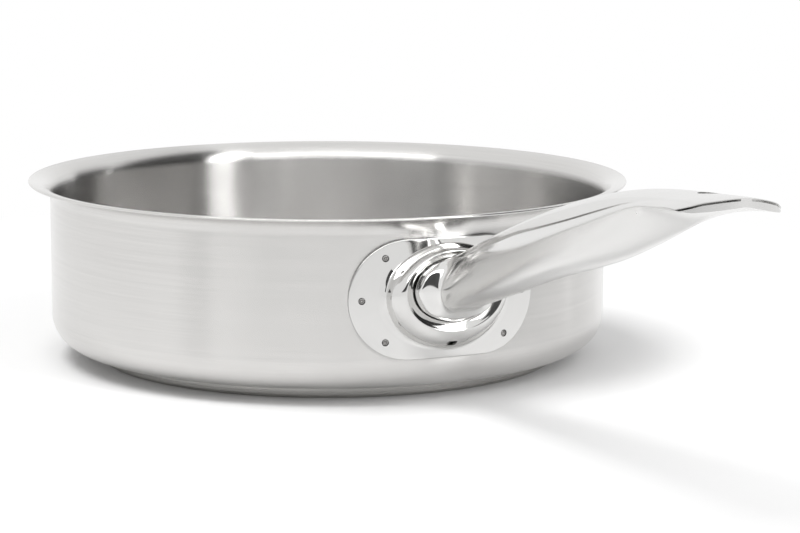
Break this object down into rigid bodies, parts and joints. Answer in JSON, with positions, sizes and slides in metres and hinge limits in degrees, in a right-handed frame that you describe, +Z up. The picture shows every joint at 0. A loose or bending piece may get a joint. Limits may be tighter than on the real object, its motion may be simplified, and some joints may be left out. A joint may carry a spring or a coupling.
{
  "type": "saute pan",
  "caption": "Straight-sided stainless steel saute pan with a flared pouring rim, a thick sandwich base and a long raised hollow handle on a welded oblong plate.",
  "frame": {"origin": "centre of the base's underside, on the surface the pan stands on", "axes": "+Z up along the pan's axis, +X from the pan along its handle, +Y across"},
  "size_m": [0.4759, 0.2608, 0.113],
  "materials": {
    "body_steel": "fine brushing round the wall",
    "base_aluminium": "plain disc, hidden",
    "base_steel": "turned, half bright",
    "plate_steel": "mirror polished steel",
    "handle_steel": "smooth satin",
    "weld_steel": "grey pressed spot"
  },
  "bodies": {
    "root": {"pan_body": "body_steel", "base_core": "base_aluminium", "base_cap": "base_steel", "handle_plate": "plate_steel", "handle": "handle_steel", "plate_weld_1": "weld_steel", "plate_weld_2": "weld_steel", "plate_weld_3": "weld_steel", "plate_weld_4": "weld_steel", "plate_weld_5": "weld_steel", "plate_weld_6": "weld_steel", "flange_weld_1": "weld_steel", "flange_weld_2": "weld_steel", "flange_weld_3": "weld_steel", "flange_weld_4": "weld_steel"}
  },
  "joints": []
}
